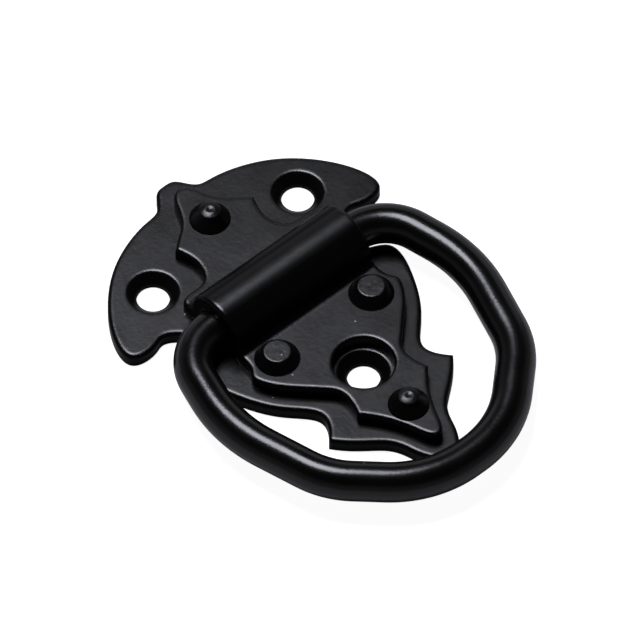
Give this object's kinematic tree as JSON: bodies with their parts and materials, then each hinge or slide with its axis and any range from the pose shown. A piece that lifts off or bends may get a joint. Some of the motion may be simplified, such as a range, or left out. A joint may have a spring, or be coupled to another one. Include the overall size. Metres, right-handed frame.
{
  "type": "ring pull handle",
  "caption": "Black ring pull handle: a leaf-shaped back plate and riveted cover plate whose bent saddle holds a swinging D-shaped bar ring, with countersunk screw holes.",
  "frame": {"origin": "on the back face of the base plate, under the middle of the hinge axis", "axes": "+X along the hinge axis, +Y towards the fan of the base plate, +Z out of the back face towards the ring"},
  "size_m": [0.0538, 0.0755, 0.0114],
  "materials": {
    "coated_sheet": "semi-gloss black",
    "coated_bar": "gloss black",
    "coated_rivet": "semi-gloss black"
  },
  "bodies": {
    "plate": {"base_plate": "coated_sheet", "cover_plate": "coated_sheet", "rivet_flat_left": "coated_rivet", "rivet_flat_right": "coated_rivet", "rivet_domed_top": "coated_rivet", "rivet_domed_tail": "coated_rivet"},
    "ring": {"pull_ring": "coated_bar"}
  },
  "joints": [
    {"name": "ring_swing", "type": "hinge", "parent": "plate", "child": "ring", "pos_m": [0, 0, 0.00575], "axis": [-1, 0, 0], "range_deg": [0, 180]}
  ]
}
